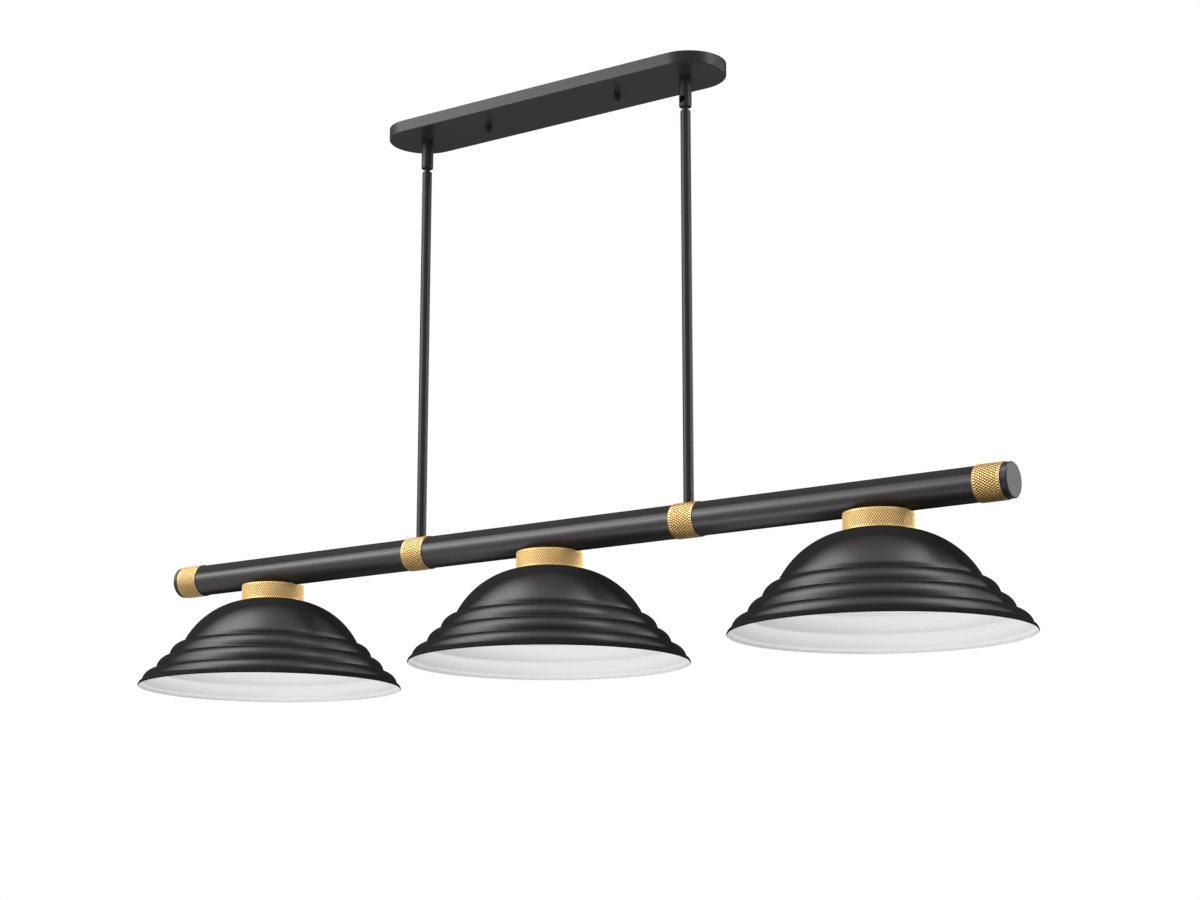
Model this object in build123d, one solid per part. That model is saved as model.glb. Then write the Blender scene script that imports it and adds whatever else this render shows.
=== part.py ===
from build123d import *
import os
from math import cos, radians, sqrt, tan

# Three-shade linear pendant for a billiard table: a ceiling canopy, two swivelling rods and a long
# bar that carries three stepped metal shades. Millimetres, +Z up. The origin is the middle of the
# canopy's ceiling face, +X runs along the bar and the lamp's front is -Y.

# Ceiling canopy, a shallow pan folded from sheet
canopy_length = 524.0
canopy_width = 98.0
canopy_height = 16.5
canopy_sheet = 1.5
canopy_fold_radius = 2.6

# Strap that is screwed to the outlet box, with the studs and nuts that hold the canopy up to it
strap_length = 240.0
strap_width = 22.0
strap_thickness = 2.5
strap_corner_radius = 4.0
box_screw_spacing = 88.9
box_slot_length = 14.0
box_slot_width = 5.0
stud_spacing = 209.0
stud_radius = 2.1
stud_head_radius = 3.5
stud_head_height = 1.0
stud_grip = 8.5
cap_nut_radius = 4.3
cap_nut_height = 11.5
cap_nut_edge_radius = 1.5
ground_screw_offset = 75.0
ground_screw_radius = 2.0
ground_flange_radius = 5.0
ground_flange_height = 0.8
ground_head_flats = 8.0
ground_head_height = 3.0

# Ball swivels under the canopy, one above each rod
swivel_inset = 53.0
socket_radius = 8.0
socket_length = 40.0
socket_edge_radius = 1.5
ball_radius = 6.0
ball_lift = 5.5
chamber_height = 11.0
neck_radius = 3.4
swing_limit = 20.0
window_width = 6.3
window_height = 10.0
window_lift = 3.8
rod_gap = 4.0
ball_bore_radius = 1.8
washer_radius = 9.5
washer_thickness = 1.0
locknut_flats = 14.3
locknut_height = 3.5

# Threaded lamp pipe, the same on the swivels, couplings and shade holders
pipe_radius = 4.9
pipe_bore_radius = 3.2
pipe_end = 1.0

# Rods and the couplings that screw them to the bar
rod_radius = 6.5
rod_bore_radius = 5.0
rod_top_chamfer = 1.3
coupling_rise = 9.9
stub_length = 12.0
saddle_nut_flats = 15.6
saddle_nut_height = 6.0

# Bar with its end caps and the brass sleeves round it
bar_drop = 589.4
bar_length = 1280.0
bar_radius = 21.0
bar_wall = 1.6
cap_flange = 10.0
cap_plug = 12.0
cap_wall = 2.4
cap_face = 4.0
cap_chamfer = 1.2
sleeve_length = 34.0
sleeve_wall = 1.3
sleeve_edge = 0.4
end_sleeve_inset = 8.5

# Brass shade holders, cups that hang under the bar
shade_inset = 171.0
holder_radius = 42.4
holder_height = 22.5
holder_wall = 2.5
holder_plate = 6.0
holder_edge = 0.5
saddle_depth = 1.5

# Spun shades: four rounded beads from the rim inwards, then the dome up to the holder
shade_rim_radius = 178.0
shade_sheet = 1.2
bead_widths = (5.1, 18.7, 17.1, 20.0)
bead_rises = (6.2, 14.9, 19.3, 19.1)
dome_rise = 59.1
dome_radius = 107.5

# Lampholders, each clamped through its shade by a threaded ring
lampholder_radius = 19.75
lampholder_length = 50.0
lampholder_edge = 1.0
pipe_depth = 10.0
shell_radius = 13.2
shell_wall = 0.5
shell_length = 24.0
shell_recess = 5.0
contact_radius = 4.5
contact_height = 1.4
contact_room = 2.0
ring_radius = 29.0
ring_height = 6.0
ring_edge = 1.0

# Clearances: screwed or pushed together, a drilled hole, the ball in its socket, the neck at full swing
fit_clearance = 0.05
hole_clearance = 0.15
ball_clearance = 0.25
neck_clearance = 0.3

# Levels below the ceiling, the rods' distance apart and the outer shades' from the middle one
canopy_inside = canopy_sheet - canopy_height
socket_bottom = -canopy_height - socket_length
ball_level = socket_bottom + ball_lift
rod_top = socket_bottom - rod_gap
bar_top = bar_radius - bar_drop
bar_bottom = -bar_radius - bar_drop
bar_bore_radius = bar_radius - bar_wall
bar_roof = bar_bore_radius - bar_drop
bar_floor = -bar_bore_radius - bar_drop
rod_bottom = bar_top + coupling_rise
rod_spacing = canopy_length - 2 * swivel_inset
shade_pitch = bar_length / 2 - shade_inset
holder_top = bar_bottom + saddle_depth
holder_bottom = holder_top - holder_height
holder_roof = holder_top - holder_plate
shade_height = sum(bead_rises) + dome_rise
rim_level = holder_bottom - shade_height
lampholder_bottom = holder_roof - lampholder_length
shell_bottom = lampholder_bottom + shell_recess
shell_top = shell_bottom + shell_length
shell_outer_radius = shell_radius + shell_wall
contact_level = shell_top + contact_room

rod_places = {"left": -rod_spacing / 2, "right": rod_spacing / 2}
shade_places = {"left": -shade_pitch, "middle": 0.0, "right": shade_pitch}
end_signs = {"left": -1, "right": 1}


def post(radius, low, high, x=0.0):
    """Upright cylinder between two levels."""
    return Pos(x, 0, low) * Cylinder(radius, high - low, align=(Align.CENTER, Align.CENTER, Align.MIN))


def hex_post(flats, low, high, x=0.0):
    """Upright hexagon, given across its flats, between two levels."""
    return Pos(x, 0, low) * extrude(RegularPolygon(flats / 2, 6, major_radius=False), high - low)


def along_bar(radius, start, end):
    """Cylinder on the bar's axis between two places along it."""
    return Pos((start + end) / 2, 0, -bar_drop) * Rot(0, 90, 0) * Cylinder(radius, end - start)


def edges_at(solid, axis, level):
    """Edges that lie at one level of an axis."""
    return [edge for edge in solid.edges() if all(
        abs(getattr(vertex.center(), axis) - level) < fit_clearance for vertex in edge.vertices()
    ) and abs(getattr(edge.center(), axis) - level) < fit_clearance]


def outer_edge(solid, axis, level):
    """Longest edge at a level, which is the outside one on a turned piece."""
    return max(edges_at(solid, axis, level), key=lambda edge: edge.length)


# Canopy: a stadium-shaped pan, open to the ceiling
def make_canopy():
    blank = extrude(SlotOverall(canopy_length, canopy_width), -canopy_height)
    pan = fillet(edges_at(blank, "Z", -canopy_height), canopy_fold_radius)
    inner_length = canopy_length - 2 * canopy_sheet
    inner_width = canopy_width - 2 * canopy_sheet
    hollow = extrude(SlotOverall(inner_length, inner_width), canopy_inside)
    hollow = fillet(edges_at(hollow, "Z", canopy_inside), canopy_fold_radius - canopy_sheet)
    pan -= hollow
    for x in rod_places.values():
        pan -= post(pipe_radius + hole_clearance, -canopy_height, canopy_inside, x)
    for x in (-stud_spacing / 2, stud_spacing / 2):
        pan -= post(stud_radius + hole_clearance, -canopy_height, canopy_inside, x)
    return pan


# Strap: slotted for the outlet box screws, with flush seats for the studs
def make_mounting_strap():
    strap = extrude(RectangleRounded(strap_length, strap_width, strap_corner_radius), -strap_thickness)
    for side in (-1, 1):
        slot = SlotOverall(box_slot_length, box_slot_width)
        strap -= Pos(side * box_screw_spacing / 2, 0, 0) * extrude(slot, -strap_thickness)
        x = side * stud_spacing / 2
        strap -= post(stud_radius + fit_clearance, -strap_thickness, 0, x)
        strap -= post(stud_head_radius + fit_clearance, -stud_head_height, 0, x)
    return strap - post(ground_screw_radius + fit_clearance, -strap_thickness, 0, ground_screw_offset)


def make_stud(x):
    shank = post(stud_radius, -canopy_height - stud_grip, 0, x)
    return shank + post(stud_head_radius, -stud_head_height, 0, x)


def make_cap_nut(x):
    low = -canopy_height - cap_nut_height
    nut = post(cap_nut_radius, low, -canopy_height, x)
    nut = fillet(edges_at(nut, "Z", low), cap_nut_edge_radius)
    return nut - post(stud_radius + fit_clearance, -canopy_height - stud_grip - fit_clearance, -canopy_height, x)


def make_ground_screw():
    flange_top = -strap_thickness
    flange_bottom = flange_top - ground_flange_height
    screw = post(ground_screw_radius, flange_top, 0, ground_screw_offset)
    screw += post(ground_flange_radius, flange_bottom, flange_top, ground_screw_offset)
    return screw + hex_post(ground_head_flats, flange_bottom - ground_head_height, flange_bottom, ground_screw_offset)


# Swivel socket: a turned tube whose mouth flares so that the neck can lean, with a side window
def make_swivel_socket(x, facing):
    washer_top = canopy_inside + washer_thickness
    socket = post(socket_radius, socket_bottom, -canopy_height, x)
    socket = fillet(outer_edge(socket, "Z", socket_bottom), socket_edge_radius)
    socket += post(pipe_radius, -canopy_height, washer_top + locknut_height + pipe_end, x)
    cavity_radius = ball_radius + ball_clearance
    socket -= post(pipe_bore_radius, ball_level, washer_top + locknut_height + pipe_end, x)
    socket -= post(cavity_radius, ball_level, ball_level + chamber_height, x)
    socket -= Pos(x, 0, ball_level) * Sphere(cavity_radius)
    throat_radius = neck_radius / cos(radians(swing_limit)) + neck_clearance
    mouth_radius = throat_radius + ball_lift * tan(radians(swing_limit))
    bottom_up = (Align.CENTER, Align.CENTER, Align.MIN)
    socket -= Pos(x, 0, socket_bottom) * Cone(mouth_radius, throat_radius, ball_lift, align=bottom_up)
    window_level = socket_bottom + window_lift + window_height / 2
    window_plane = Plane(origin=(x, 0, window_level), x_dir=(1, 0, 0), z_dir=(0, facing, 0))
    window = window_plane * SlotOverall(window_height, window_width, rotation=90)
    return socket - extrude(window, socket_radius)


def make_swivel_ball(x):
    ball = Pos(x, 0, ball_level) * Sphere(ball_radius)
    ball += post(neck_radius, rod_top, ball_level, x)
    ball += post(rod_bore_radius - fit_clearance, rod_top - stub_length, rod_top, x)
    return ball - post(ball_bore_radius, rod_top - stub_length, ball_level + ball_radius, x)


def make_swivel_washer(x):
    top = canopy_inside + washer_thickness
    washer = post(washer_radius, canopy_inside, top, x)
    return washer - post(pipe_radius + hole_clearance, canopy_inside, top, x)


def make_swivel_locknut(x):
    low = canopy_inside + washer_thickness
    nut = hex_post(locknut_flats, low, low + locknut_height, x)
    return nut - post(pipe_radius + fit_clearance, low, low + locknut_height, x)


# Rods and their couplings
def make_downrod(x):
    rod = post(rod_radius, rod_bottom, rod_top, x)
    rod = chamfer(outer_edge(rod, "Z", rod_top), rod_top_chamfer)
    return rod - post(rod_bore_radius, rod_bottom, rod_top, x)


def make_rod_coupling(x):
    body = post(rod_radius, -bar_drop, rod_bottom, x)
    body -= along_bar(bar_radius + fit_clearance, x - bar_radius, x + bar_radius)
    low = bar_roof - saddle_nut_height - pipe_end
    high = rod_bottom + stub_length
    body += post(rod_bore_radius - fit_clearance, rod_bottom, high, x)
    body += post(pipe_radius, low, rod_bottom, x)
    return body - post(pipe_bore_radius, low, high, x)


# Saddle nut: a hexagon whose seat is curved to the inside of the bar
def make_saddle_nut(low, high, x):
    nut = hex_post(saddle_nut_flats, low, high, x)
    nut &= along_bar(bar_bore_radius - fit_clearance, x - bar_radius, x + bar_radius)
    return nut - post(pipe_radius + fit_clearance, low, high, x)


# Bar, caps and sleeves
def make_bar_tube():
    end = bar_length / 2 - cap_flange
    tube = along_bar(bar_radius, -end, end) - along_bar(bar_bore_radius, -end, end)
    for x in rod_places.values():
        tube -= post(pipe_radius + hole_clearance, -bar_drop, bar_top, x)
    for x in shade_places.values():
        tube -= post(pipe_radius + hole_clearance, bar_bottom, -bar_drop, x)
    return tube


def make_end_cap(sign):
    face = bar_length / 2
    seam = face - cap_flange
    plug_radius = bar_bore_radius - fit_clearance
    cap = along_bar(bar_radius, seam, face)
    cap = chamfer(outer_edge(cap, "X", face), cap_chamfer)
    cap += along_bar(plug_radius, seam - cap_plug, seam)
    cap -= along_bar(plug_radius - cap_wall, seam - cap_plug, face - cap_face)
    return cap if sign > 0 else mirror(cap, Plane.YZ)


def make_sleeve(middle):
    start = middle - sleeve_length / 2
    end = middle + sleeve_length / 2
    sleeve = along_bar(bar_radius + fit_clearance + sleeve_wall, start, end)
    sleeve = chamfer([outer_edge(sleeve, "X", start), outer_edge(sleeve, "X", end)], sleeve_edge)
    return sleeve - along_bar(bar_radius + fit_clearance, start, end)


def make_rod_sleeve(x):
    return make_sleeve(x) - post(rod_radius + hole_clearance, -bar_drop, rod_bottom, x)


# Shade holder: a cup with a shallow saddle on top, in which the bar lies
def make_shade_holder(x):
    holder = post(holder_radius, holder_bottom, holder_top, x)
    rims = [outer_edge(holder, "Z", holder_bottom), outer_edge(holder, "Z", holder_top)]
    holder = chamfer(rims, holder_edge)
    holder -= post(holder_radius - holder_wall, holder_bottom, holder_roof, x)
    holder -= along_bar(bar_radius + fit_clearance, x - 2 * holder_radius, x + 2 * holder_radius)
    return holder - post(pipe_radius + hole_clearance, holder_roof, holder_top, x)


# Shade: half of its section, beads as quarter rounds and the dome as one arc, turned about its axis
def make_shade(x):
    radius = shade_rim_radius
    level = 0.0
    lines = []
    for width, rise in zip(bead_widths, bead_rises):
        crown = (radius - width * (1 - sqrt(0.5)), level + rise * sqrt(0.5))
        lines.append(ThreePointArc((radius, level), crown, (radius - width, level + rise)))
        radius -= width
        level += rise
    lines.append(RadiusArc((radius, level), (holder_radius, shade_height), -dome_radius))
    lines.append(Polyline((holder_radius, shade_height), (0, shade_height), (0, 0), (shade_rim_radius, 0)))
    outside = make_face(lines)
    section = outside - Pos(-shade_sheet, -shade_sheet) * outside
    mouth = lampholder_radius + hole_clearance
    section -= Pos(mouth / 2, shade_height / 2) * Rectangle(mouth, 2 * shade_height)
    return Pos(x, 0, rim_level) * revolve(Plane.XZ * section, Axis.Z)


def make_holder_pipe(x):
    low = holder_roof - pipe_depth
    high = bar_floor + saddle_nut_height + pipe_end
    return post(pipe_radius, low, high, x) - post(pipe_bore_radius, low, high, x)


# Lampholder: a moulded body, its screw shell, the centre contact and the ring under the shade
def make_lampholder(x):
    body = post(lampholder_radius, lampholder_bottom, holder_roof, x)
    body = chamfer(outer_edge(body, "Z", lampholder_bottom), lampholder_edge)
    body -= post(shell_outer_radius + fit_clearance, lampholder_bottom, contact_level, x)
    return body - post(pipe_radius + fit_clearance, holder_roof - pipe_depth - fit_clearance, holder_roof, x)


def make_screw_shell(x):
    shell = post(shell_outer_radius, shell_bottom, shell_top, x)
    return shell - post(shell_radius, shell_bottom, shell_top, x)


def make_centre_contact(x):
    return post(contact_radius, contact_level - contact_height, contact_level, x)


def make_shade_ring(x):
    high = holder_bottom - shade_sheet
    low = high - ring_height
    ring = post(ring_radius, low, high, x)
    ring = chamfer(outer_edge(ring, "Z", low), ring_edge)
    return ring - post(lampholder_radius + fit_clearance, low, high, x)


# All pieces by name, with sets of like fasteners as one group
stud_places = (-stud_spacing / 2, stud_spacing / 2)
pieces = {
    "canopy": make_canopy(),
    "mounting_strap": make_mounting_strap(),
    "mounting_studs": Compound(children=[make_stud(x) for x in stud_places]),
    "canopy_cap_nuts": Compound(children=[make_cap_nut(x) for x in stud_places]),
    "ground_screw": make_ground_screw(),
    "swivel_washers": Compound(children=[make_swivel_washer(x) for x in rod_places.values()]),
    "swivel_locknuts": Compound(children=[make_swivel_locknut(x) for x in rod_places.values()]),
    "rod_locknuts": Compound(children=[
        make_saddle_nut(bar_roof - saddle_nut_height, bar_roof, x) for x in rod_places.values()
    ]),
    "pipe_locknuts": Compound(children=[
        make_saddle_nut(bar_floor, bar_floor + saddle_nut_height, x) for x in shade_places.values()
    ]),
    "bar_tube": make_bar_tube(),
}
window_facing = {"left": 1, "right": -1}
for side, x in rod_places.items():
    pieces[f"swivel_socket_{side}"] = make_swivel_socket(x, window_facing[side])
    pieces[f"swivel_ball_{side}"] = make_swivel_ball(x)
    pieces[f"downrod_{side}"] = make_downrod(x)
    pieces[f"rod_coupling_{side}"] = make_rod_coupling(x)
    pieces[f"rod_sleeve_{side}"] = make_rod_sleeve(x)
for side, sign in end_signs.items():
    sleeve_middle = bar_length / 2 - end_sleeve_inset - sleeve_length / 2
    pieces[f"end_cap_{side}"] = make_end_cap(sign)
    pieces[f"end_sleeve_{side}"] = make_sleeve(sign * sleeve_middle)
for side, x in shade_places.items():
    pieces[f"shade_holder_{side}"] = make_shade_holder(x)
    pieces[f"shade_{side}"] = make_shade(x)
    pieces[f"holder_pipe_{side}"] = make_holder_pipe(x)
    pieces[f"lampholder_{side}"] = make_lampholder(x)
    pieces[f"screw_shell_{side}"] = make_screw_shell(x)
    pieces[f"centre_contact_{side}"] = make_centre_contact(x)
    pieces[f"shade_ring_{side}"] = make_shade_ring(x)

os.makedirs("parts", exist_ok=True)
for name, shape in pieces.items():
    export_step(shape, f"parts/{name}.step")
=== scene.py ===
from math import acos, asin, atan2, cos, degrees, hypot, pi, radians, sin, sqrt

import bmesh
import bpy
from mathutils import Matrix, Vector


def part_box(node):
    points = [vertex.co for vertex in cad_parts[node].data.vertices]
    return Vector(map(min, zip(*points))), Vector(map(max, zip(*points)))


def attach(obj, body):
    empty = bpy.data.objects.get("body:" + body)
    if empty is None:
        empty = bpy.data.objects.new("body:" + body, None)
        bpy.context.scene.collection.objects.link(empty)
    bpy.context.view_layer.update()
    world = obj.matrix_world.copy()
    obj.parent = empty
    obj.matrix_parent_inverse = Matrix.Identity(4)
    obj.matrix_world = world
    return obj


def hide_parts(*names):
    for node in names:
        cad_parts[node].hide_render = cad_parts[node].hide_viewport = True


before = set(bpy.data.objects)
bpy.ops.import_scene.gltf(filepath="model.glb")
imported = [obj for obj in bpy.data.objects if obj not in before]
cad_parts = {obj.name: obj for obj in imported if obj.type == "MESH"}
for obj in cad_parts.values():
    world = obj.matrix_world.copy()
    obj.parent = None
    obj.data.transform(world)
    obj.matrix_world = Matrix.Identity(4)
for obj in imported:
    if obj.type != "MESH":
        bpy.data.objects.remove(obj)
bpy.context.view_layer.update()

scene = bpy.context.scene
scene.view_settings.view_transform = "Standard"

# Ceiling canopy: a shallow stadium-shaped pan, pressed from 1.5 mm steel sheet and powder-coated satin
# black. It is open to the ceiling, and its floor is drilled for the two swivels and the two studs.
canopy_low, canopy_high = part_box("canopy")
canopy_length = canopy_high.x - canopy_low.x
canopy_width = canopy_high.y - canopy_low.y
canopy_floor = canopy_low.z
canopy_sheet = 0.0015
canopy_fold = 0.0018
canopy_inset = 0.0006
rod_places = {"left": -0.209, "right": 0.209}
stud_places = {"left": -0.1045, "right": 0.1045}
pipe_hole = 0.00505
stud_hole = 0.00225
drill_start = canopy_floor - 0.002
drill_end = canopy_floor + 0.004
head_on = 0.2
head_on_rate = 4.8
weld_reach = 1e-6
level_reach = 1e-5
smooth_angle = 30


class Tone:
    """A value, vector or colour in a finish. Sums, differences and products of values add Math nodes."""

    def __init__(self, socket):
        self.socket = socket

    def node(self, kind, settings, inputs, output=0):
        """Adds any other node: its settings first, then the values or tones of its sockets."""
        tree = self.socket.id_data
        made = tree.nodes.new(kind)
        for name, value in settings.items():
            setattr(made, name, value)
        for name, value in inputs.items():
            if isinstance(value, Tone):
                tree.links.new(value.socket, made.inputs[name])
            else:
                made.inputs[name].default_value = value
        return Tone(made.outputs[output])

    def math(self, operation, first, second, clamp=False):
        settings = {"operation": operation, "use_clamp": clamp}
        return self.node("ShaderNodeMath", settings, {0: first, 1: second})

    def __add__(self, other):
        return self.math("ADD", self, other)

    def __sub__(self, other):
        return self.math("SUBTRACT", self, other)

    def __rsub__(self, other):
        return self.math("SUBTRACT", other, self)

    def __mul__(self, other):
        return self.math("MULTIPLY", self, other)

    __radd__ = __add__
    __rmul__ = __mul__

    def clamped(self):
        return self.math("ADD", self, 0.0, clamp=True)

    def blend(self, low, high):
        """The colour that lies between two others by this value."""
        return self.node("ShaderNodeMix", {"data_type": "RGBA"}, {0: self, 6: low, 7: high}, output=2)

    def mottle(self, scale, detail):
        """Cloudy variation over a place, with as many patches to the metre as the scale says."""
        return self.node("ShaderNodeTexNoise", {}, {"Vector": self, "Scale": scale, "Detail": detail})

    def relief(self, strength, depth):
        """Surface direction of a fine relief with this value as its height."""
        inputs = {"Height": self, "Strength": strength, "Distance": depth}
        return self.node("ShaderNodeBump", {}, inputs)

    def feed(self, socket):
        self.socket.id_data.links.new(self.socket, socket)


def new_finish(name, **even):
    """A material, its shader's sockets and the place on the piece.

    Values that are even all over are set here."""
    material = bpy.data.materials.new(name)
    material.use_nodes = True
    nodes = material.node_tree.nodes
    sockets = nodes["Principled BSDF"].inputs
    for socket, value in even.items():
        sockets[socket.replace("_", " ")].default_value = value
    place = Tone(nodes.new("ShaderNodeTexCoord").outputs["Object"])
    return material, sockets, place


def satin_black_finish(name, shine, roughness, fade, matt_tone, matt_share=None):
    """Satin powder coat: a slightly warm black, with a fine grain and slow changes of gloss.

    It shines less straight on, and also towards grazing angles, from the fade's first value on and as
    fast as its second. A matt tone, as pale as the value given for it, is left there. Where a matt share is
    given, the same matt tone is also laid as painted shade by that share, dimming the highlights there."""
    warm = (1, 0.96, 0.955, 1)
    material, sockets, place = new_finish(name, Specular_IOR_Level=shine, Specular_Tint=warm)
    grain = place.mottle(scale=1600.0, detail=2.0)
    patches = place.mottle(scale=8.0, detail=3.0)
    colour = patches.blend((0.0085, 0.008, 0.008, 1), (0.0138, 0.013, 0.0129, 1))
    colour.feed(sockets["Base Color"])
    (roughness + patches * 0.05 + grain * 0.03).feed(sockets["Roughness"])
    grain.relief(strength=0.1, depth=0.0001).feed(sockets["Normal"])
    matt = place.node("ShaderNodeBsdfDiffuse", {}, {"Color": (1.2 * matt_tone, 1.15 * matt_tone, 1.14 * matt_tone, 1)})
    turned_away = place.node("ShaderNodeLayerWeight", {}, {"Blend": 0.5}, output="Facing")
    nodes = material.node_tree.nodes
    straight_on = ((head_on - turned_away) * head_on_rate).clamped()
    dull = ((turned_away - fade[0]) * fade[1]).clamped() + straight_on
    if matt_share:
        dull = dull + matt_share(place)
    shaders = {0: dull.clamped(), 1: Tone(nodes["Principled BSDF"].outputs[0]), 2: matt}
    matt.node("ShaderNodeMixShader", {}, shaders).feed(nodes["Material Output"].inputs["Surface"])
    return material


def lay_down():
    """Ends the modelling of the piece in hand, with nothing left selected."""
    if bpy.context.mode != "OBJECT":
        bpy.ops.object.mode_set(mode="OBJECT")
    bpy.ops.object.select_all(action="DESELECT")


def begin(add, **sizes):
    """Adds a primitive with nothing else selected, and opens it for modelling about the origin."""
    lay_down()
    add(**sizes)
    bpy.ops.object.transform_apply(location=True, rotation=True, scale=True)
    bpy.ops.object.mode_set(mode="EDIT")
    bpy.ops.mesh.select_mode(type="VERT")
    bpy.ops.mesh.select_all(action="SELECT")
    return bpy.context.object


def pick(piece, kind, test):
    """Selects only the vertices, edges or faces that pass a test."""
    bpy.ops.mesh.select_mode(type=kind)
    bpy.ops.mesh.select_all(action="DESELECT")
    mesh = bmesh.from_edit_mesh(piece.data)
    for part in {"VERT": mesh.verts, "EDGE": mesh.edges, "FACE": mesh.faces}[kind]:
        if test(part):
            part.select_set(True)
    mesh.select_flush_mode()
    bmesh.update_edit_mesh(piece.data)


def shape(piece, kind, **settings):
    """Gives a piece a modifier and applies it."""
    lay_down()
    modifier = piece.modifiers.new(kind.lower(), kind)
    for name, value in settings.items():
        setattr(modifier, name, value)
    bpy.context.view_layer.objects.active = piece
    bpy.ops.object.modifier_apply(modifier=modifier.name)


def cut(piece, cutter):
    """Cuts one solid out of another and throws the cutter away."""
    shape(piece, "BOOLEAN", operation="DIFFERENCE", object=cutter, solver="EXACT")
    bpy.data.objects.remove(cutter, do_unlink=True)


def drill(piece, radius, x, low, high):
    """Drills an upright hole between two levels."""
    size = {"vertices": 48, "radius": radius, "depth": high - low}
    cutter = begin(bpy.ops.mesh.primitive_cylinder_add, location=(x, 0, (low + high) / 2), **size)
    cut(piece, cutter)


def stadium(length, width, level):
    """Flat sheet whose four corners are rounded until each end is a half circle."""
    sheet = begin(bpy.ops.mesh.primitive_plane_add, size=1.0, location=(0, 0, level))
    bpy.ops.transform.resize(value=(length, width, 1), center_override=(0, 0, level))
    bpy.ops.mesh.bevel(offset=width / 2, segments=24, affect="VERTICES", clamp_overlap=False)
    bpy.ops.mesh.select_all(action="SELECT")
    bpy.ops.mesh.remove_doubles(threshold=weld_reach)
    return sheet


def fit(piece, name, body, slot, finish, *nodes):
    """Names and smooths a finished piece, gives it its finish and body, and hides the CAD nodes it stands
    for.

    The slot argument is not used.
    """
    lay_down()
    piece.select_set(True)
    bpy.context.view_layer.objects.active = piece
    bpy.ops.object.shade_smooth_by_angle(angle=radians(smooth_angle))
    piece.name = name
    piece.data.name = name
    if not piece.data.materials:
        piece.data.materials.append(finish)
    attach(piece, body)
    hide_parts(*nodes)


def at_level(level):
    """Test for edges and faces that lie at one level."""
    return lambda part: all(abs(corner.co.z - level) < level_reach for corner in part.verts)


satin_black = satin_black_finish("satin_black_powder_coat", shine=0.3, roughness=0.31, fade=(0.3, 2.2),
                                 matt_tone=0.02)
canopy = stadium(canopy_length, canopy_width, canopy_floor)
pick(canopy, "EDGE", lambda edge: True)
bpy.ops.mesh.extrude_edges_move(TRANSFORM_OT_translate={"value": (0, 0, -canopy_floor)})
pick(canopy, "EDGE", at_level(canopy_floor))
bpy.ops.mesh.bevel(offset=canopy_fold, segments=6, affect="EDGES")
pick(canopy, "FACE", at_level(canopy_floor))
bpy.ops.mesh.inset(thickness=canopy_inset)
bpy.ops.mesh.select_all(action="SELECT")
bpy.ops.mesh.normals_make_consistent(inside=False)
shape(canopy, "SOLIDIFY", thickness=canopy_sheet, offset=-1.0, use_even_offset=True)
for x in rod_places.values():
    drill(canopy, pipe_hole, x, drill_start, drill_end)
for x in stud_places.values():
    drill(canopy, stud_hole, x, drill_start, drill_end)
fit(canopy, "canopy_pan", "canopy", "satin_black", satin_black, "canopy")

# Swivels: a turned tube under each end of the canopy, screwed up through its floor, holds a ball with a
# neck. Both are painted black. A window in the tube's side lets the ball be pushed in.
socket_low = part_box("swivel_socket_left")[0].z
socket_radius = 0.008
socket_edge = 0.0015
pipe_radius = 0.0049
pipe_bore = 0.0032
pipe_edge = 0.0003
pipe_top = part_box("swivel_socket_left")[1].z
ball_lift = 0.0055
ball_level = socket_low + ball_lift
ball_radius = 0.006
ball_room = 0.00625
ball_bore = 0.0018
neck_radius = 0.0034
chamber_height = 0.011
lip_drop = 0.0035
mouth_radius = 0.0059
window_width = 0.0063
window_height = 0.010
window_lift = 0.0088
window_inset = 0.001
rod_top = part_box("downrod_left")[1].z
stub_radius = 0.00495
stub_length = 0.012


def arc(centre, radius, start, end, steps):
    """Points of an arc in an outline, between two angles in degrees."""
    angles = [radians(start + (end - start) * step / steps) for step in range(steps + 1)]
    return [(centre[0] + radius * cos(angle), centre[1] + radius * sin(angle)) for angle in angles]


def turn(outline, centre=(0, 0, 0), axis="Z", steps=64):
    """Turns a piece: draws its outline through points of (radius, place) and spins it about its axis."""
    if axis == "Z":
        points = [Vector((radius, 0, place)) for radius, place in outline]
    else:
        points = [Vector((place, 0, radius)) for radius, place in outline]
    piece = begin(bpy.ops.mesh.primitive_plane_add, size=0.001)
    bpy.ops.mesh.merge(type="CENTER")
    bpy.ops.transform.translate(value=points[0] + Vector(centre))
    for before, after in zip(points, points[1:]):
        bpy.ops.mesh.extrude_region_move(TRANSFORM_OT_translate={"value": after - before})
    bpy.ops.mesh.select_all(action="SELECT")
    direction = (0, 0, 1) if axis == "Z" else (1, 0, 0)
    bpy.ops.mesh.spin(steps=steps, angle=2 * pi, center=centre, axis=direction)
    bpy.ops.mesh.select_all(action="SELECT")
    bpy.ops.mesh.remove_doubles(threshold=weld_reach)
    bpy.ops.mesh.normals_make_consistent(inside=False)
    return piece


lip_angle = degrees(asin(-lip_drop / ball_room))
socket_outline = [(pipe_radius - pipe_edge, pipe_top), (pipe_radius, pipe_top - pipe_edge)]
socket_outline += [(pipe_radius, canopy_floor), (socket_radius, canopy_floor)]
socket_outline += arc((socket_radius - socket_edge, socket_low + socket_edge), socket_edge, 0, -90, steps=6)
socket_outline += [(mouth_radius, socket_low)]
socket_outline += arc((0, ball_level), ball_room, lip_angle, 0, steps=6)
socket_outline += [(ball_room, ball_level + chamber_height), (pipe_bore, ball_level + chamber_height)]
socket_outline += [(pipe_bore, pipe_top), socket_outline[0]]
bore_angle = degrees(acos(ball_bore / ball_radius))
neck_angle = -degrees(acos(neck_radius / ball_radius))
ball_outline = arc((0, ball_level), ball_radius, bore_angle, neck_angle, steps=18)
ball_outline += [(neck_radius, rod_top), (stub_radius, rod_top), (stub_radius, rod_top - stub_length)]
ball_outline += [(ball_bore, rod_top - stub_length), ball_outline[0]]
window_facing = {"left": 1, "right": -1}
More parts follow.
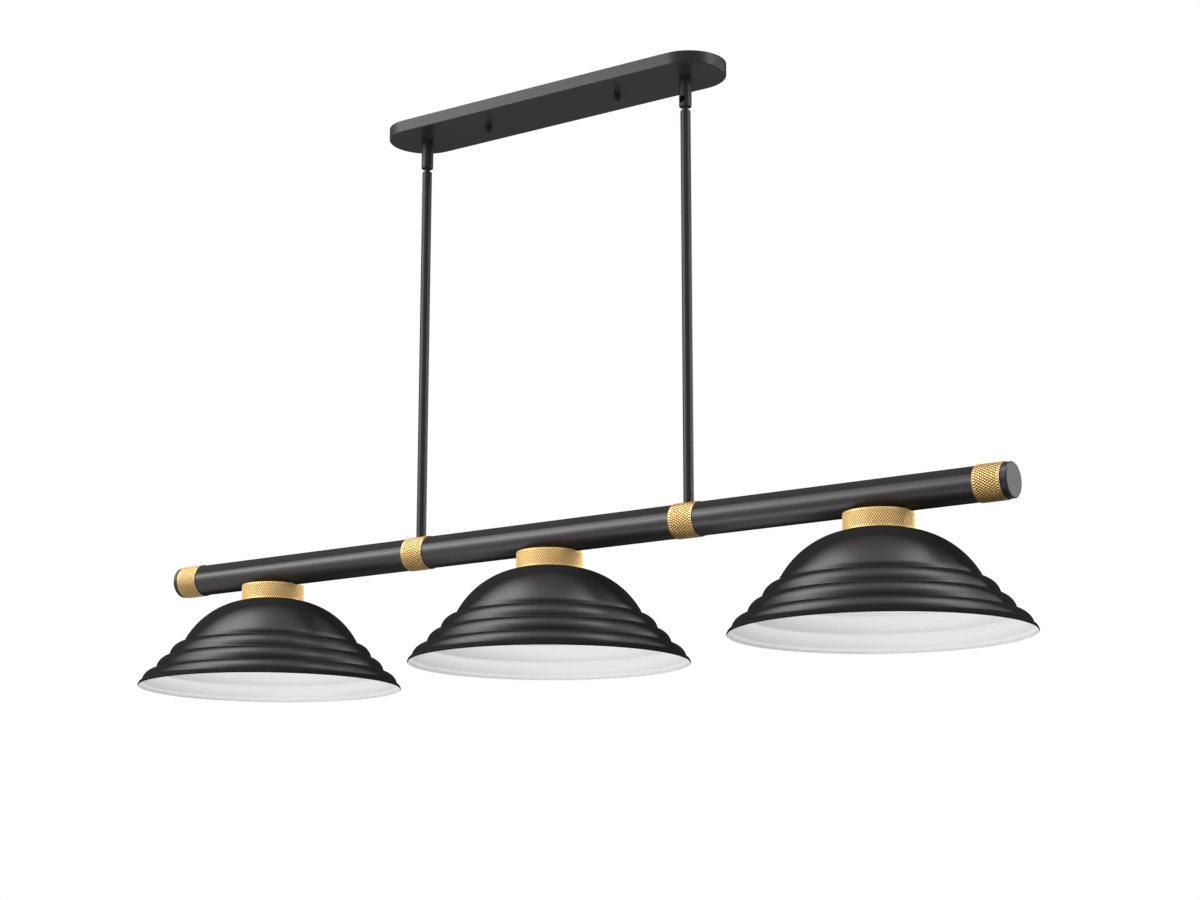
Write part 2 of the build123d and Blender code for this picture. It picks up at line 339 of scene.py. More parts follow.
for side, x in rod_places.items():
    socket = turn(socket_outline, (x, 0, 0))
    window = stadium(window_height, window_width, level=0.0)
    bpy.ops.mesh.extrude_region_move(TRANSFORM_OT_translate={"value": (0, 0, socket_radius)})
    bpy.ops.object.mode_set(mode="OBJECT")
    window.rotation_euler = (0, pi / 2, window_facing[side] * pi / 2)
    window.location = (x, window_facing[side] * window_inset, socket_low + window_lift)
    bpy.ops.object.transform_apply(location=True, rotation=True, scale=True)
    cut(socket, window)
    fit(socket, f"swivel_tube_{side}", "canopy", "satin_black", satin_black, f"swivel_socket_{side}")
    ball = turn(ball_outline, (x, 0, 0), steps=48)
    fit(ball, f"swivel_ball_stub_{side}", "pendant", "satin_black", satin_black, f"swivel_ball_{side}")

# Rods: two 13 mm black tubes with a chamfered top end. Under each, a short coupling of the same width
# screws into the rod, and its foot is hollowed to sit on the round bar.
rod_radius = 0.0065
rod_bore = 0.005
rod_chamfer = 0.0013
rod_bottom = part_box("downrod_left")[0].z
joint_edge = 0.0003
bar_level = -0.5894
bar_radius = 0.021
bar_top = bar_level + bar_radius
coupling_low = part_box("rod_coupling_left")[0].z
coupling_seat_length = 0.04
rod_outline = [(rod_bore, rod_top), (rod_radius - rod_chamfer, rod_top), (rod_radius, rod_top - rod_chamfer)]
rod_outline += [(rod_radius, rod_bottom + joint_edge), (rod_radius - joint_edge, rod_bottom)]
rod_outline += [(rod_bore, rod_bottom), rod_outline[0]]
coupling_outline = [(stub_radius, rod_bottom + stub_length), (stub_radius, rod_bottom)]
coupling_outline += [(rod_radius - joint_edge, rod_bottom), (rod_radius, rod_bottom - joint_edge)]
coupling_outline += [(rod_radius, bar_level), (pipe_bore, bar_level)]
coupling_outline += [(pipe_bore, rod_bottom + stub_length), coupling_outline[0]]
nipple_outline = [(pipe_radius, bar_top), (pipe_radius, coupling_low), (pipe_bore, coupling_low)]
nipple_outline += [(pipe_bore, bar_top), nipple_outline[0]]


def bar_cutter(radius, x, length):
    """Round length of the bar, to cut a seat for it."""
    size = {"vertices": 128, "radius": radius, "depth": length, "rotation": (0, pi / 2, 0)}
    return begin(bpy.ops.mesh.primitive_cylinder_add, location=(x, 0, bar_level), **size)


for side, x in rod_places.items():
    rod = turn(rod_outline, (x, 0, 0))
    fit(rod, f"rod_{side}", "pendant", "satin_black", satin_black, f"downrod_{side}")
    coupling = turn(coupling_outline, (x, 0, 0))
    cut(coupling, bar_cutter(bar_radius, x, coupling_seat_length))
    turn(nipple_outline, (x, 0, 0))
    bpy.ops.object.mode_set(mode="OBJECT")
    coupling.select_set(True)
    bpy.context.view_layer.objects.active = coupling
    bpy.ops.object.join()
    fit(coupling, f"coupling_{side}", "pendant", "satin_black", satin_black, f"rod_coupling_{side}")

# Bar: a 42 mm black tube that carries everything below the rods. Its upper side is painted shade: the coat
# turns matt there and its highlights dim. A turned cap is pushed into each end, flush with the tube, and
# has a chamfer round its face.
bar_centre = (0, 0, bar_level)
bar_wall = 0.0016
bar_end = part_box("bar_tube")[1].x
cap_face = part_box("end_cap_right")[1].x
cap_plug = 0.012
cap_plug_radius = 0.01935
cap_bore = 0.01695
cap_floor = 0.004
cap_chamfer = 0.0012
seam_edge = 0.0003
bar_shade_start = 0.15
bar_shade_rate = 3.6


def height_of(place):
    """Height of a place on a piece."""
    return Tone(place.node("ShaderNodeSeparateXYZ", {}, {0: place}).socket.node.outputs["Z"])


def painted_shade_on_bar_top(place):
    """Share of painted shade on the bar's upper side, by height above its axis: the coat turns matt there."""
    return (((height_of(place) - bar_level) * (1 / bar_radius) - bar_shade_start) * bar_shade_rate).clamped()


# The bar's coat turns matt along its upper side: painted shade that dims its highlights there.
bar_black = satin_black_finish("bar_satin_black", shine=0.55, roughness=0.31, fade=(0.34, 4.5),
                               matt_tone=0.024, matt_share=painted_shade_on_bar_top)
bar_outline = [(bar_radius - seam_edge, -bar_end), (bar_radius, -bar_end + seam_edge)]
bar_outline += [(bar_radius, bar_end - seam_edge), (bar_radius - seam_edge, bar_end)]
bar_outline += [(bar_radius - bar_wall, bar_end), (bar_radius - bar_wall, -bar_end), bar_outline[0]]
bar = turn(bar_outline, bar_centre, "X", steps=128)
fit(bar, "bar", "pendant", "satin_black", bar_black, "bar_tube")
cap_outline = [(0, cap_face), (bar_radius - cap_chamfer, cap_face), (bar_radius, cap_face - cap_chamfer)]
cap_outline += [(bar_radius, bar_end + seam_edge), (bar_radius - seam_edge, bar_end)]
cap_outline += [(cap_plug_radius, bar_end), (cap_plug_radius, bar_end - cap_plug)]
cap_outline += [(cap_bore, bar_end - cap_plug), (cap_bore, cap_face - cap_floor), (0, cap_face - cap_floor)]
for side, sign in {"left": -1, "right": 1}.items():
    cap = turn([(radius, sign * place) for radius, place in cap_outline], bar_centre, "X", steps=96)
    fit(cap, f"bar_cap_{side}", "pendant", "satin_black", satin_black, f"end_cap_{side}")

# Sleeves: four brass rings round the bar, turned, diamond-knurled and brushed, with a plain land at each
# edge. The two under the rods are bored for the couplings.
sleeve_radius = 0.02235
sleeve_bore = 0.02105
sleeve_length = 0.034
sleeve_land = 0.0007
sleeve_edge = 0.0003
knurl_depth = 0.0006
knurl_flat = 0.00035
groove_rate = 1.9
sleeve_tones = ((0.81, 0.555, 0.235, 1), (0.89, 0.64, 0.30, 1), (0.12, 0.065, 0.02, 1))
coupling_hole = 0.00665


def knurled_brass_finish(name, distance, crest, worn, tones, roughness):
    """Brushed brass. The knurling's grooves are dark below its worn share, by distance from the axis.

    The tones are the brass where it is darkest and palest, and the dirt in the grooves."""
    material, sockets, place = new_finish(name, Metallic=1.0)
    darkest, palest, dirt = tones
    grooves = (((crest - distance(place)) * (1 / knurl_depth) - worn) * groove_rate).clamped()
    patches = place.mottle(scale=60.0, detail=3.0)
    grooves.blend(patches.blend(darkest, palest), dirt).feed(sockets["Base Color"])
    (roughness + patches * 0.14 + grooves * 0.2).feed(sockets["Roughness"])
    grain = place.mottle(scale=2600.0, detail=1.0)
    grain.relief(strength=0.12, depth=0.0001).feed(sockets["Normal"])
    return material


def distance_from_bar(place):
    """Distance of a place from the bar's axis."""
    lowered = place.node("ShaderNodeVectorMath", {"operation": "SUBTRACT"}, {0: place, 1: bar_centre})
    across = lowered.node("ShaderNodeVectorMath", {"operation": "MULTIPLY"}, {0: lowered, 1: (0, 1, 1)})
    return across.node("ShaderNodeVectorMath", {"operation": "LENGTH"}, {0: across}, output=1)


def knurl(radius, length, around, rows, centre, axis):
    """Knurled band: a tube's grid of corners is raised in turn into pyramids, whose tops are flattened."""
    turned = (0, pi / 2, 0) if axis == "X" else (0, 0, 0)
    tube = {"vertices": 2 * around, "radius": radius - knurl_depth, "depth": length}
    tube.update(end_fill_type="NOTHING", location=centre, rotation=turned)
    band = begin(bpy.ops.mesh.primitive_cylinder_add, **tube)

    def along(corner):
        offset = corner.co - Vector(centre)
        return offset.x if axis == "X" else offset.z

    def out(corner):
        offset = corner.co - Vector(centre)
        return (offset.y, offset.z) if axis == "X" else (offset.x, offset.y)

    def row(corner):
        return round((along(corner) / length + 0.5) * rows)

    def raised(corner):
        column = round(atan2(*out(corner)) / (pi / around))
        return 0 < row(corner) < rows and (row(corner) + column) % 2 == 0

    pick(band, "EDGE", lambda edge: abs(along(edge.verts[0]) - along(edge.verts[1])) > length / 2)
    bpy.ops.mesh.subdivide(number_cuts=rows - 1)
    pick(band, "VERT", raised)
    bpy.ops.transform.shrink_fatten(value=knurl_depth)
    pick(band, "VERT", lambda corner: row(corner) in (0, rows))
    wider = (radius - knurl_depth / 2) / (radius - knurl_depth)
    value = (1, wider, wider) if axis == "X" else (wider, wider, 1)
    bpy.ops.transform.resize(value=value, center_override=centre)
    bpy.ops.mesh.select_all(action="SELECT")
    bpy.ops.mesh.quads_convert_to_tris(quad_method="SHORTEST_DIAGONAL", ngon_method="BEAUTY")
    pick(band, "VERT", lambda corner: hypot(*out(corner)) > radius - knurl_depth / 4)
    bpy.ops.mesh.bevel(offset=knurl_flat, segments=1, affect="VERTICES")
    return band


def edge_ring(band, place, centre, axis):
    """Selects the open ring of edges at one place along a band's axis."""
    def there(corner):
        offset = corner.co - Vector(centre)
        return abs((offset.x if axis == "X" else offset.z) - place) < level_reach
    pick(band, "EDGE", lambda edge: edge.is_boundary and all(there(corner) for corner in edge.verts))


def draw_out(outline, centre, axis):
    """Extrudes the selected ring of edges along an outline of (radius, place) points."""
    for (before, start), (after, end) in zip(outline, outline[1:]):
        step = (end - start, 0, 0) if axis == "X" else (0, 0, end - start)
        bpy.ops.mesh.extrude_edges_move(TRANSFORM_OT_translate={"value": step})
        scale = after / before
        value = (1, scale, scale) if axis == "X" else (scale, scale, 1)
        bpy.ops.transform.resize(value=value, center_override=centre)


def copy_of(piece, shift):
    """A copy of a shape with its own mesh, moved along."""
    lay_down()
    piece.select_set(True)
    bpy.context.view_layer.objects.active = piece
    bpy.ops.object.duplicate()
    bpy.ops.object.mode_set(mode="EDIT")
    bpy.ops.mesh.select_all(action="SELECT")
    bpy.ops.transform.translate(value=shift)
    bpy.ops.object.mode_set(mode="OBJECT")
    return bpy.context.object


sleeve_brass = knurled_brass_finish("sleeve_brass", distance_from_bar, sleeve_radius, worn=0.24,
                                    tones=sleeve_tones, roughness=0.32)
sleeve_knurled = sleeve_length - 2 * sleeve_land
sleeve_plain = sleeve_radius - knurl_depth / 2
sleeve = knurl(sleeve_radius, sleeve_knurled, around=42, rows=12, centre=bar_centre, axis="X")
for sign in (-1, 1):
    half = sign * sleeve_knurled / 2
    end = sign * sleeve_length / 2
    edge_ring(sleeve, half, bar_centre, "X")
    land = [(sleeve_plain, half), (sleeve_plain, end - sign * sleeve_edge)]
    land += [(sleeve_plain - sleeve_edge, end), (sleeve_bore, end)]
    draw_out(land, bar_centre, "X")
pick(sleeve, "EDGE", lambda edge: edge.is_boundary)
bpy.ops.mesh.bridge_edge_loops()
bpy.ops.mesh.select_all(action="SELECT")
bpy.ops.mesh.normals_make_consistent(inside=False)
end_sleeve_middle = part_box("end_sleeve_right")[0].x + sleeve_length / 2
for side, sign in {"left": -1, "right": 1}.items():
    end_sleeve = copy_of(sleeve, (sign * end_sleeve_middle, 0, 0))
    fit(end_sleeve, f"end_ring_{side}", "pendant", "knurled_brass", sleeve_brass, f"end_sleeve_{side}")
    rod_sleeve = copy_of(sleeve, (rod_places[side], 0, 0))
    drill(rod_sleeve, coupling_hole, rod_places[side], bar_level, rod_bottom)
    fit(rod_sleeve, f"rod_ring_{side}", "pendant", "knurled_brass", sleeve_brass, f"rod_sleeve_{side}")
bpy.data.objects.remove(sleeve, do_unlink=True)

# Shade holders: three brass cups under the bar, turned and knurled like the sleeves. A shallow saddle in
# the top plate takes the bar, and the shade is drawn up against the open lower edge.
holder_low, holder_high = (corner.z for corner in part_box("shade_holder_middle"))
holder_radius = 0.0424
holder_bore = 0.0399
holder_plate = 0.006
holder_land = 0.0008
holder_edge = 0.0005
holder_saddle_length = 0.1
holder_tones = ((0.88, 0.60, 0.255, 1), (0.92, 0.68, 0.325, 1), (0.20, 0.115, 0.04, 1))
shade_pitch = 0.469
shade_places = {"left": -shade_pitch, "middle": 0.0, "right": shade_pitch}


def distance_from_shade_axis(place):
    """Distance of a place from the axis of the nearest of the three shades."""
    x = place.node("ShaderNodeSeparateXYZ", {}, {0: place})
    y = Tone(x.socket.node.outputs["Y"])
    near = {0: x, 1: shade_pitch / 2, 2: -shade_pitch / 2}
    offset = x.node("ShaderNodeMath", {"operation": "WRAP"}, near)
    squares = offset * offset + y * y
    return squares.math("SQRT", squares, 0.0)


holder_brass = knurled_brass_finish("holder_brass", distance_from_shade_axis, holder_radius, worn=0.38,
                                    tones=holder_tones, roughness=0.46)
holder_knurled = holder_high - holder_low - 2 * holder_land
holder_centre = (0, 0, (holder_low + holder_high) / 2)
holder_plain = holder_radius - knurl_depth / 2
holder = knurl(holder_radius, holder_knurled, around=88, rows=10, centre=holder_centre, axis="Z")
half = holder_knurled / 2
top = (holder_high - holder_low) / 2
edge_ring(holder, half, holder_centre, "Z")
upper = [(holder_plain, half), (holder_plain, top - holder_edge)]
upper += [(holder_plain - holder_edge, top), (pipe_hole, top), (pipe_hole, top - holder_plate)]
upper += [(holder_bore, top - holder_plate)]
draw_out(upper, holder_centre, "Z")
edge_ring(holder, -half, holder_centre, "Z")
lower = [(holder_plain, -half), (holder_plain, holder_edge - top)]
lower += [(holder_plain - holder_edge, -top), (holder_bore, -top)]
draw_out(lower, holder_centre, "Z")
pick(holder, "EDGE", lambda edge: edge.is_boundary)
bpy.ops.mesh.bridge_edge_loops()
bpy.ops.mesh.select_all(action="SELECT")
bpy.ops.mesh.normals_make_consistent(inside=False)
cut(holder, bar_cutter(bar_radius, 0, holder_saddle_length))
for side, x in shade_places.items():
    cup = copy_of(holder, (x, 0, 0))
    fit(cup, f"holder_cup_{side}", "pendant", "knurled_brass", holder_brass, f"shade_holder_{side}")
bpy.data.objects.remove(holder, do_unlink=True)

# Shades: spun steel sheet with a rolled rim, four rounded beads and a plain dome above them. They are
# coated satin black outside and white inside, and the flat top has a hole for the lampholder.
shade_low, shade_high = (corner.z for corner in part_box("shade_middle"))
shade_rim = 0.178
shade_sheet = 0.0012
roll_radius = 0.0011
roll_step = 0.0005
bead_widths = (0.0046, 0.0187, 0.0171, 0.0200)
bead_rises = (0.0051, 0.0149, 0.0193, 0.0191)
dome_radius = 0.1075
foot_width = 0.0012
foot_rise = 0.0060
valley_reach = 0.0009
rim_shade_height = 0.0085
rim_shade_rate = 3 / rim_shade_height
white_side = -0.1
shade_steps = 160
lampholder_hole = 0.0199


def arc_through(start, crown, end, steps):
    """Points of the arc from one point to another by way of a third."""
    (ax, ay), (bx, by), (cx, cy) = start, crown, end
    twice = 2 * (ax * (by - cy) + bx * (cy - ay) + cx * (ay - by))
    a, b, c = ax * ax + ay * ay, bx * bx + by * by, cx * cx + cy * cy
    centre = ((a * (by - cy) + b * (cy - ay) + c * (ay - by)) / twice,
              (a * (cx - bx) + b * (ax - cx) + c * (bx - ax)) / twice)
    first = degrees(atan2(ay - centre[1], ax - centre[0]))
    last = degrees(atan2(cy - centre[1], cx - centre[0]))
    return arc(centre, hypot(ax - centre[0], ay - centre[1]), first, last, steps)


def painted_shade_at_rim(place):
    """Share of painted shade along the rolled rim, where the coat turns matt into a dark line."""
    return ((shade_low + rim_shade_height - height_of(place)) * rim_shade_rate).clamped()


def shade_white_finish():
    """White enamel, a little glossier than the black, with slow changes of gloss."""
    material, sockets, place = new_finish("shade_white_enamel")
    grain = place.mottle(scale=700.0, detail=2.0)
    patches = place.mottle(scale=12.0, detail=3.0)
    patches.blend((0.79, 0.79, 0.802, 1), (0.83, 0.83, 0.842, 1)).feed(sockets["Base Color"])
    (0.36 + patches * 0.12).feed(sockets["Roughness"])
    grain.relief(strength=0.06, depth=0.0002).feed(sockets["Normal"])
    return material


def rounded(outline, following):
    """Joins two arcs of the outline and rounds the inner corner where they meet."""
    corner = Vector(following[0])
    before = [point for point in outline if (Vector(point) - corner).length > valley_reach]
    after = [point for point in following if (Vector(point) - corner).length > valley_reach]
    start = corner + (Vector(before[-1]) - corner).normalized() * valley_reach
    end = corner + (Vector(after[0]) - corner).normalized() * valley_reach
    for step in (0, 1 / 4, 1 / 2, 3 / 4, 1):
        before.append(tuple(start.lerp(corner, step).lerp(corner.lerp(end, step), step)))
    return before + after


radius, level = shade_rim - roll_step, shade_low + roll_radius
beads = []
for width, rise in zip(bead_widths, bead_rises):
    crown = (radius - width * (1 - sqrt(0.5)), level + rise * sqrt(0.5))
    beads.append(arc_through((radius, level), crown, (radius - width, level + rise), steps=16))
    radius -= width
    level += rise
foot_top = (radius - foot_width, level + foot_rise)
foot_middle = (radius - foot_width / 4, level + foot_rise / 2)
foot = arc_through((radius, level), foot_middle, foot_top, steps=6)
radius, level = foot_top
chord = Vector((holder_radius - radius, shade_high - level))
bulge = sqrt(dome_radius ** 2 - (chord.length / 2) ** 2)
middle = Vector((radius, level)) + chord / 2
outwards = Vector((chord.y, -chord.x)).normalized()
crown = middle + outwards * (dome_radius - bulge)
beads.append(foot + arc_through((radius, level), crown, (holder_radius, shade_high), steps=32)[1:])
shade_outline = beads[0]
for bead in beads[1:]:
    shade_outline = rounded(shade_outline, bead)
shade = turn(shade_outline + [(lampholder_hole, shade_high)], steps=shade_steps)
roll_outline = arc((shade_rim - roll_radius, shade_low + roll_radius), roll_radius, 0, 360, steps=16)
roll = turn(roll_outline, steps=shade_steps)
# The black turns matt along the rolled rim: painted shade, a dark line round the shade's lower edge.
shade_black = satin_black_finish("shade_satin_black", shine=0.45, roughness=0.35, fade=(0.24, 2.9),
                                 matt_tone=0.013, matt_share=painted_shade_at_rim)
for finish in (shade_black, shade_white_finish()):
    shade.data.materials.append(finish)
    roll.data.materials.append(finish)
pick(roll, "FACE", lambda face: face.normal.xy.dot(face.calc_center_median().xy.normalized()) < white_side)
roll.active_material_index = 1
bpy.ops.object.material_slot_assign()
shape(shade, "SOLIDIFY", thickness=shade_sheet, offset=-1.0, use_even_offset=True, material_offset=1)
shape(shade, "BOOLEAN", operation="UNION", object=roll, solver="EXACT")
bpy.data.objects.remove(roll, do_unlink=True)
for side, x in shade_places.items():
    dome = copy_of(shade, (x, 0, 0))
    fit(dome, f"shade_dome_{side}", "pendant", "shade_enamel", None, f"shade_{side}")
bpy.data.objects.remove(shade, do_unlink=True)

# Lampholders: a black moulded body screwed on the pipe inside each holder, with a coarse thread round it.
# A notched ring on that thread clamps the shade, and a rolled shell and a contact take the lamp.
body_low, body_high = (corner.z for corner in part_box("lampholder_middle"))
body_radius = 0.01975
body_bore = 0.01375
body_edge = 0.0008
body_foot_edge = 0.001
thread_pitch = 0.003
thread_depth = 0.0008
thread_lift = 0.006
thread_turns = 7
pipe_seat = 0.01005
pipe_fit = 0.00495
contact_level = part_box("centre_contact_middle")[1].z
contact_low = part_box("centre_contact_middle")[0].z
contact_radius = 0.0045
contact_edge = 0.0004
contact_tongue = [(0.0018, 0.0), (0.0026, 0.0005), (0.0040, 0.0008)]
shell_low, shell_high = (corner.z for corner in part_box("screw_shell_middle"))
shell_radius = 0.0137
shell_wall = 0.0005
shell_pitch = 0.00363
shell_depth = 0.0007
shell_turns = 10
shell_steps = 48
wave_steps = 8
ring_low, ring_high = (corner.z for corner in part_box("shade_ring_middle"))
ring_radius = 0.029
ring_bore = 0.0198
ring_edge = 0.001
ring_top_edge = 0.0004
ring_bore_edge = 0.0006
ring_steps = 96
notch_spacing = 8
notch_width = 3
notch_depth = 0.0012


def moulded_black_finish():
    """Moulded phenolic: black, slightly brown, with a fine moulded grain."""
    material, sockets, place = new_finish("lampholder_phenolic")
    grain = place.mottle(scale=900.0, detail=2.0)
    patches = place.mottle(scale=40.0, detail=2.0)
    patches.blend((0.020, 0.019, 0.018, 1), (0.032, 0.030, 0.028, 1)).feed(sockets["Base Color"])
    (0.38 + patches * 0.12).feed(sockets["Roughness"])
    grain.relief(strength=0.15, depth=0.0001).feed(sockets["Normal"])
    return material


def bare_metal_finish(name, low, high, roughness):
    """Bare or plated metal, with light streaks of handling."""
    material, sockets, place = new_finish(name, Metallic=1.0)
    streaks = place.mottle(scale=220.0, detail=4.0)
    streaks.blend(low, high).feed(sockets["Base Color"])
    (roughness + streaks * 0.15).feed(sockets["Roughness"])
    grain = place.mottle(scale=1800.0, detail=2.0)
    grain.relief(strength=0.08, depth=0.0001).feed(sockets["Normal"])
    return material


phenolic = moulded_black_finish()
shell_tones = ((0.60, 0.60, 0.58, 1), (0.78, 0.77, 0.74, 1))
shell_metal = bare_metal_finish("shell_nickel", *shell_tones, roughness=0.2)
contact_tones = ((0.66, 0.46, 0.18, 1), (0.80, 0.60, 0.28, 1))
contact_brass = bare_metal_finish("contact_brass", *contact_tones, roughness=0.25)
body_outline = [(0, body_high - pipe_seat), (pipe_fit, body_high - pipe_seat), (pipe_fit, body_high)]
body_outline += [(body_radius - body_edge, body_high), (body_radius, body_high - body_edge)]
for count in reversed(range(thread_turns)):
    groove = body_low + thread_lift + count * thread_pitch
    body_outline += [(body_radius, groove + 0.75 * thread_pitch)]
    body_outline += [(body_radius - thread_depth, groove + 0.5 * thread_pitch)]
    body_outline += [(body_radius - thread_depth, groove + 0.25 * thread_pitch), (body_radius, groove)]
body_outline += [(body_radius, body_low + body_foot_edge), (body_radius - body_foot_edge, body_low)]
body_outline += [(body_bore + body_edge, body_low), (body_bore, body_low + body_edge)]
body_outline += [(body_bore, contact_level), (0, contact_level)]
body = turn(body_outline)

shell = begin(bpy.ops.mesh.primitive_plane_add, size=0.001)
bpy.ops.mesh.merge(type="CENTER")
wave = []
for step in range(wave_steps + 1):
    dip = 0.5 - 0.5 * cos(2 * pi * step / wave_steps)
    wave.append((shell_radius - shell_depth * dip, shell_pitch * step / wave_steps))
bpy.ops.transform.translate(value=(wave[0][0], 0, shell_low - 2 * shell_pitch))
for (before, start), (after, end) in zip(wave, wave[1:]):
    bpy.ops.mesh.extrude_region_move(TRANSFORM_OT_translate={"value": (after - before, 0, end - start)})
winding = {"axis": "Z", "angle": 2 * pi, "screw_offset": shell_pitch, "iterations": shell_turns}
winding.update(steps=shell_steps, render_steps=shell_steps)
winding.update(use_merge_vertices=True, merge_threshold=weld_reach)
shape(shell, "SCREW", **winding)
bpy.ops.object.mode_set(mode="EDIT")
for level, clear in ((shell_low, "clear_inner"), (shell_high, "clear_outer")):
    bpy.ops.mesh.select_all(action="SELECT")
    bpy.ops.mesh.bisect(plane_co=(0, 0, level), plane_no=(0, 0, 1), **{clear: True})
bpy.ops.mesh.select_all(action="SELECT")
bpy.ops.mesh.remove_doubles(threshold=weld_reach)
bpy.ops.mesh.normals_make_consistent(inside=False)
shape(shell, "SOLIDIFY", thickness=shell_wall, offset=-1.0)

contact_outline = [(0, contact_low)] + [(radius, contact_low + rise) for radius, rise in contact_tongue]
contact_outline += [(contact_radius, contact_level - contact_edge), (contact_radius, contact_level)]
contact_outline += [(0, contact_level)]
contact = turn(contact_outline, steps=32)

ring_outline = [(ring_bore, ring_high), (ring_radius - ring_top_edge, ring_high)]
ring_outline += [(ring_radius, ring_high - ring_top_edge), (ring_radius, ring_low + ring_edge)]
ring_outline += [(ring_radius - ring_edge, ring_low), (ring_bore + ring_bore_edge, ring_low)]
ring_outline += [(ring_bore, ring_low + ring_bore_edge), ring_outline[0]]
ring = turn(ring_outline, steps=ring_steps)


def in_notch(face):
    """Test for the faces round the ring that are pressed in as finger notches."""
    middle = face.calc_center_median()
    step = round(degrees(atan2(middle.y, middle.x)) / (360 / ring_steps) - 0.5)
    upright = abs(face.normal.z) < 0.1 and hypot(middle.x, middle.y) > ring_radius - ring_edge / 2
    return upright and step % notch_spacing < notch_width


pick(ring, "FACE", in_notch)
bpy.ops.mesh.extrude_region_shrink_fatten(TRANSFORM_OT_shrink_fatten={"value": -notch_depth})
for side, x in shade_places.items():
    fit(copy_of(body, (x, 0, 0)), f"lampholder_body_{side}", "pendant", "lampholder_black", phenolic,
        f"lampholder_{side}")
    fit(copy_of(shell, (x, 0, 0)), f"lamp_shell_{side}", "pendant", "shell_metal", shell_metal,
        f"screw_shell_{side}")
    fit(copy_of(contact, (x, 0, 0)), f"lamp_contact_{side}", "pendant", "contact_brass", contact_brass,
        f"centre_contact_{side}")
    fit(copy_of(ring, (x, 0, 0)), f"clamp_ring_{side}", "pendant", "lampholder_black", phenolic,
        f"shade_ring_{side}")
for pattern in (body, shell, contact, ring):
    bpy.data.objects.remove(pattern, do_unlink=True)

# Fixings: a zinc-plated strap on the ceiling's outlet box holds two studs, and black cap nuts on them draw
# the canopy up. A green earth screw, lock nuts, washers and pipes sit inside the canopy, bar and holders.
nut_low, nut_high = (corner.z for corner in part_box("canopy_cap_nuts"))
nut_radius = 0.0043
nut_edge = 0.0003
nut_round = 0.0015
nut_outline = [(0, nut_high), (nut_radius - nut_edge, nut_high), (nut_radius, nut_high - nut_edge)]
nut_outline += arc((nut_radius - nut_round, nut_low + nut_round), nut_round, 0, -90, steps=6) + [(0, nut_low)]
cap_nuts = turn(nut_outline, (stud_places["left"], 0, 0), steps=48)
copy_of(cap_nuts, (stud_places["right"] - stud_places["left"], 0, 0))
cap_nuts.select_set(True)
bpy.context.view_layer.objects.active = cap_nuts
bpy.ops.object.join()
fit(cap_nuts, "cap_nuts", "canopy", "satin_black", satin_black, "canopy_cap_nuts")
zinc_tones = ((0.30, 0.31, 0.31, 1), (0.42, 0.43, 0.43, 1))
zinc = bare_metal_finish("zinc_plate", *zinc_tones, roughness=0.36)
green_tones = ((0.03, 0.20, 0.07, 1), (0.06, 0.32, 0.12, 1))
earth_green = bare_metal_finish("earth_green", *green_tones, roughness=0.3)
plated = ["mounting_strap", "mounting_studs", "swivel_washers", "swivel_locknuts"]
plated += ["rod_locknuts", "pipe_locknuts"] + [f"holder_pipe_{side}" for side in shade_places]
for name in plated:
    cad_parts[name].material_slots[0].material = zinc
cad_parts["ground_screw"].material_slots[0].material = earth_green

# Studio: a pale floor far below the lamp, a white room and six soft boxes that the cameras don't see. They
# hang left, in front and right of it, and a low one lights the shades' white insides.
floor_level = -3.2
floor_glow = 0.8
room_light = 0.4
camera_place = (1.71958, -2.38845, -1.12370)
camera_tilt = pi / 2 + 0.2168
camera_turn = 0.6023


def softbox(name, place, aim, size, power):
    """Soft box of a width and height that faces a place."""
    bpy.ops.object.light_add(type="AREA", location=place)
    lamp = bpy.context.object
    lamp.name = name
    lamp.rotation_euler = (Vector(aim) - Vector(place)).to_track_quat("-Z", "Y").to_euler()
    lamp.data.shape = "RECTANGLE"
    lamp.data.size, lamp.data.size_y = size
    lamp.data.energy = power
    lamp.visible_camera = False


def seen(nodes):
    """1 for the rays of cameras, shine and clear pieces, and 0 for the rays that only light the lamp."""
    path = nodes.new("ShaderNodeLightPath").outputs
    camera_or_shine = Tone(path["Is Camera Ray"]) + Tone(path["Is Glossy Ray"])
    return (camera_or_shine + Tone(path["Is Transmission Ray"])).clamped()


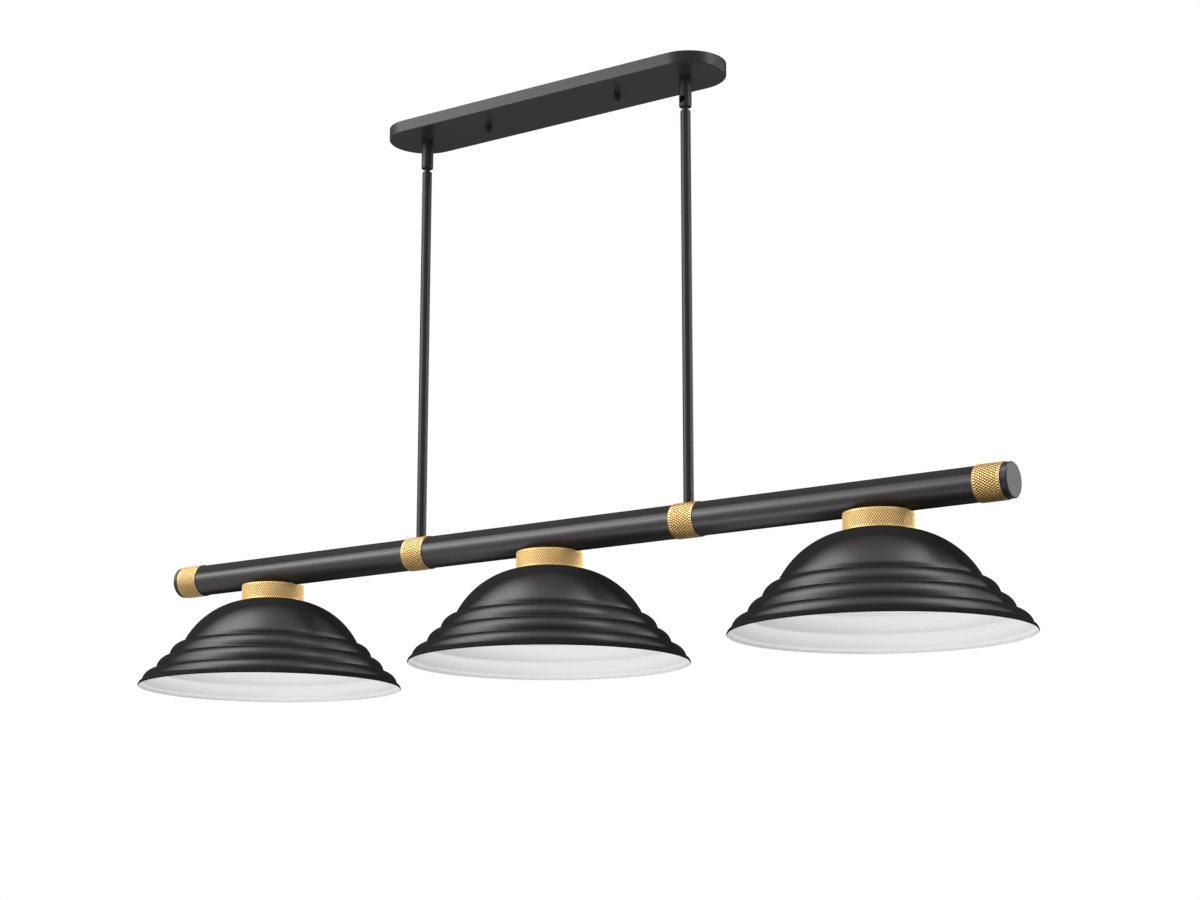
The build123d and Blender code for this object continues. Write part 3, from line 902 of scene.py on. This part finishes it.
def floor_finish():
    """Plain pale floor with faint clouds, which is clear from below."""
    material, sockets, place = new_finish("pale_floor")
    nodes = material.node_tree.nodes
    clouds = place.mottle(scale=1.5, detail=3.0)
    pale = clouds.blend((0.74, 0.74, 0.73, 1), (0.78, 0.78, 0.77, 1))
    pale.feed(sockets["Base Color"])
    (0.6 + clouds * 0.1).feed(sockets["Roughness"])
    glow = pale.node("ShaderNodeEmission", {}, {"Color": (0.96, 0.96, 0.96, 1)})
    shaders = {0: seen(nodes) * floor_glow, 1: Tone(nodes["Principled BSDF"].outputs[0]), 2: glow}
    above = glow.node("ShaderNodeMixShader", {}, shaders)
    below = glow.node("ShaderNodeBsdfTransparent", {}, {})
    under = Tone(nodes.new("ShaderNodeNewGeometry").outputs["Backfacing"])
    both = above.node("ShaderNodeMixShader", {}, {0: under, 1: above, 2: below})
    both.feed(nodes["Material Output"].inputs["Surface"])
    return material


floor_size = {"vertices": 96, "radius": 30.0, "fill_type": "NGON"}
floor = begin(bpy.ops.mesh.primitive_circle_add, location=(0, 0, floor_level), **floor_size)
bpy.ops.object.mode_set(mode="OBJECT")
floor.name = "floor"
floor.data.materials.append(floor_finish())
softbox("left_above", (-1.64, -1.00, 1.84), aim=(0, 0, -0.55), size=(2.2, 2.3), power=110)
softbox("front", (-1.65, -2.51, 0.40), aim=(0, 0, -0.50), size=(3.3, 0.9), power=60)
softbox("right_above", (1.91, 0.62, 1.68), aim=(0, 0, -0.55), size=(1.8, 1.6), power=52)
softbox("right", (2.85, 0.40, 0.15), aim=(0, 0, -0.55), size=(1.0, 1.2), power=20)
softbox("right_back", (1.64, 2.25, -0.09), aim=(0.64, 0, -0.59), size=(1.2, 1.2), power=26)
softbox("low_front", (0, -1.7, -2.2), aim=(0, 0, -0.7), size=(3.0, 0.8), power=22)
world = bpy.data.worlds.new("white_room")
world.use_nodes = True
scene.world = world
background = world.node_tree.nodes["Background"]
background.inputs["Color"].default_value = (1, 1, 1, 1)
(room_light + (1 - room_light) * seen(world.node_tree.nodes)).feed(background.inputs["Strength"])
bpy.ops.object.camera_add(location=camera_place, rotation=(camera_tilt, 0, camera_turn))
camera = bpy.context.object
camera.data.lens = 70.635
camera.data.sensor_width = 36.0
scene.camera = camera
